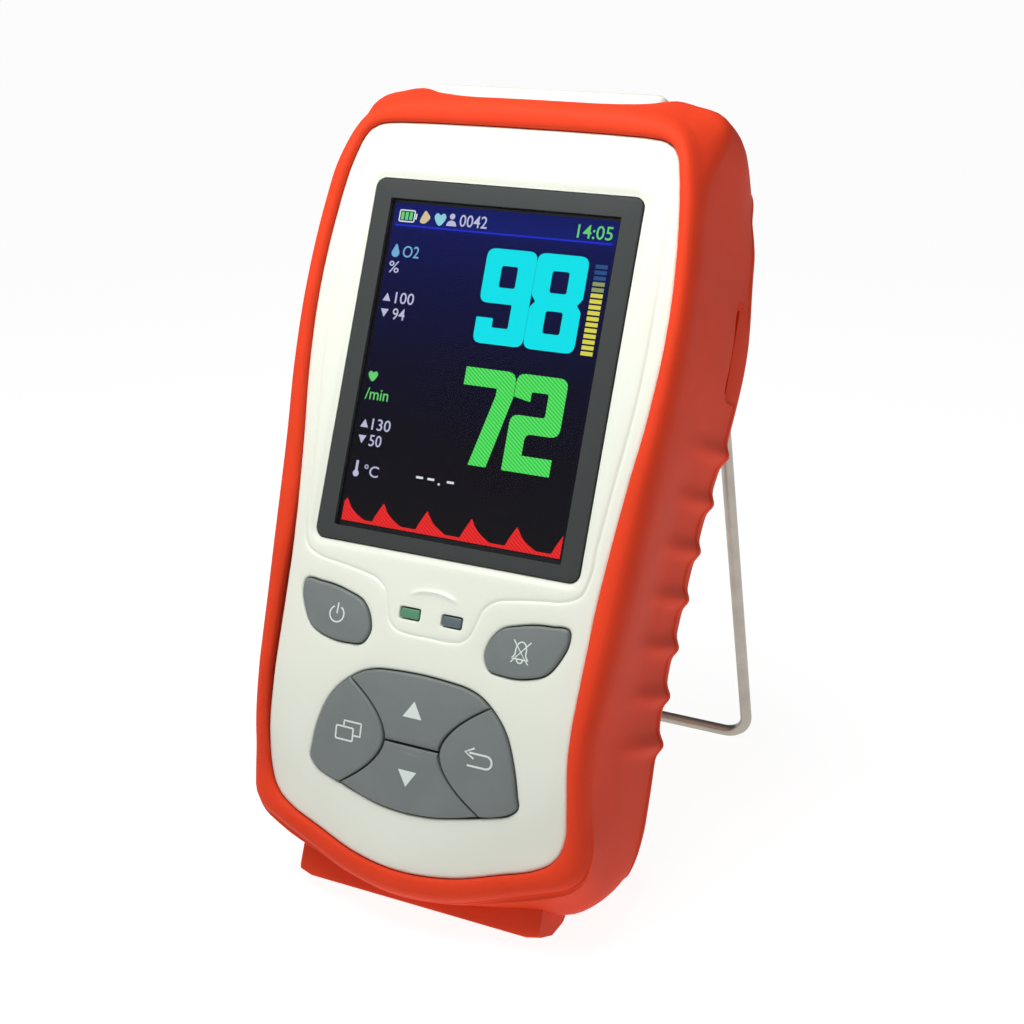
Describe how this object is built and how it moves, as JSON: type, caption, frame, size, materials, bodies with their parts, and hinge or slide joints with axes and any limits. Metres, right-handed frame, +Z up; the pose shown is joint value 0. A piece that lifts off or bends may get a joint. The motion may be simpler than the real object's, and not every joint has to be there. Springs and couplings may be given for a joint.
{
  "type": "patient monitor",
  "caption": "Handheld patient monitor with a colour display and keypad, in a ribbed rubber boot, leaning back on a folding wire stand.",
  "frame": {"origin": "on the floor under the middle of the whole part's box", "axes": "+Z up, +X to the right seen from the front, +Y towards the back; the body leans back by 22.71 degrees about X"},
  "size_m": [0.0746, 0.0994, 0.1399],
  "materials": {
    "red_rubber": "matte moulded silicone",
    "white_plastic": "satin moulded ABS",
    "grey_rubber": "matte silicone key",
    "window_grey": "polished, printed border",
    "black_foam": "matte foam tape",
    "panel_glass": "polished panel face",
    "steel": "drawn wire and pressed sheet",
    "board_green": "solder resist",
    "clear_green": "tinted clear plastic",
    "clear_blue": "tinted clear plastic",
    "led_white": "moulded lamp body",
    "black_plastic": "moulded insulator",
    "cell_wrap": "plastic sleeve over a steel can",
    "brass": "plated"
  },
  "bodies": {
    "monitor": {"rubber_boot": "red_rubber", "front_housing": "white_plastic", "rear_housing": "white_plastic", "display_window": "window_grey", "window_gasket": "black_foam", "lcd_panel": "panel_glass", "lcd_frame": "steel", "main_board": "board_green", "light_pipe_left": "clear_green", "light_pipe_right": "clear_blue", "status_led_left": "led_white", "status_led_right": "led_white", "buzzer": "black_plastic", "probe_socket": "black_plastic", "temperature_jack": "brass", "battery_door": "white_plastic", "door_screw": "steel", "cell_left": "cell_wrap", "cell_middle": "cell_wrap", "cell_right": "cell_wrap", "battery_contact_top": "steel", "battery_contact_bottom": "steel", "case_screw_top_left": "steel", "case_screw_top_right": "steel", "case_screw_bottom_left": "steel", "case_screw_bottom_right": "steel", "power_switch": "steel", "silence_switch": "steel", "up_switch": "steel", "down_switch": "steel", "menu_switch": "steel", "back_switch": "steel"},
    "stand": {"kickstand": "steel"},
    "power_key": {"power_key": "grey_rubber"},
    "silence_key": {"silence_key": "grey_rubber"},
    "up_key": {"up_key": "grey_rubber"},
    "down_key": {"down_key": "grey_rubber"},
    "menu_key": {"menu_key": "grey_rubber"},
    "back_key": {"back_key": "grey_rubber"}
  },
  "joints": [
    {"name": "stand_hinge", "type": "hinge", "parent": "monitor", "child": "stand", "pos_m": [0, 0.01995, 0.09012], "axis": [1, 0, 0], "range_deg": [-40.5, 0]},
    {"name": "power_press", "type": "slide", "parent": "monitor", "child": "power_key", "axis": [0, 0.9225, -0.3861], "range_m": [0, 0.0005], "stiffness_N_per_m": 600, "springref_m": -0.0005},
    {"name": "silence_press", "type": "slide", "parent": "monitor", "child": "silence_key", "axis": [0, 0.9225, -0.3861], "range_m": [0, 0.0005], "stiffness_N_per_m": 600, "springref_m": -0.0005},
    {"name": "up_press", "type": "slide", "parent": "monitor", "child": "up_key", "axis": [0, 0.9225, -0.3861], "range_m": [0, 0.0005], "stiffness_N_per_m": 600, "springref_m": -0.0005},
    {"name": "down_press", "type": "slide", "parent": "monitor", "child": "down_key", "axis": [0, 0.9225, -0.3861], "range_m": [0, 0.0005], "stiffness_N_per_m": 600, "springref_m": -0.0005},
    {"name": "menu_press", "type": "slide", "parent": "monitor", "child": "menu_key", "axis": [0, 0.9225, -0.3861], "range_m": [0, 0.0005], "stiffness_N_per_m": 600, "springref_m": -0.0005},
    {"name": "back_press", "type": "slide", "parent": "monitor", "child": "back_key", "axis": [0, 0.9225, -0.3861], "range_m": [0, 0.0005], "stiffness_N_per_m": 600, "springref_m": -0.0005}
  ]
}
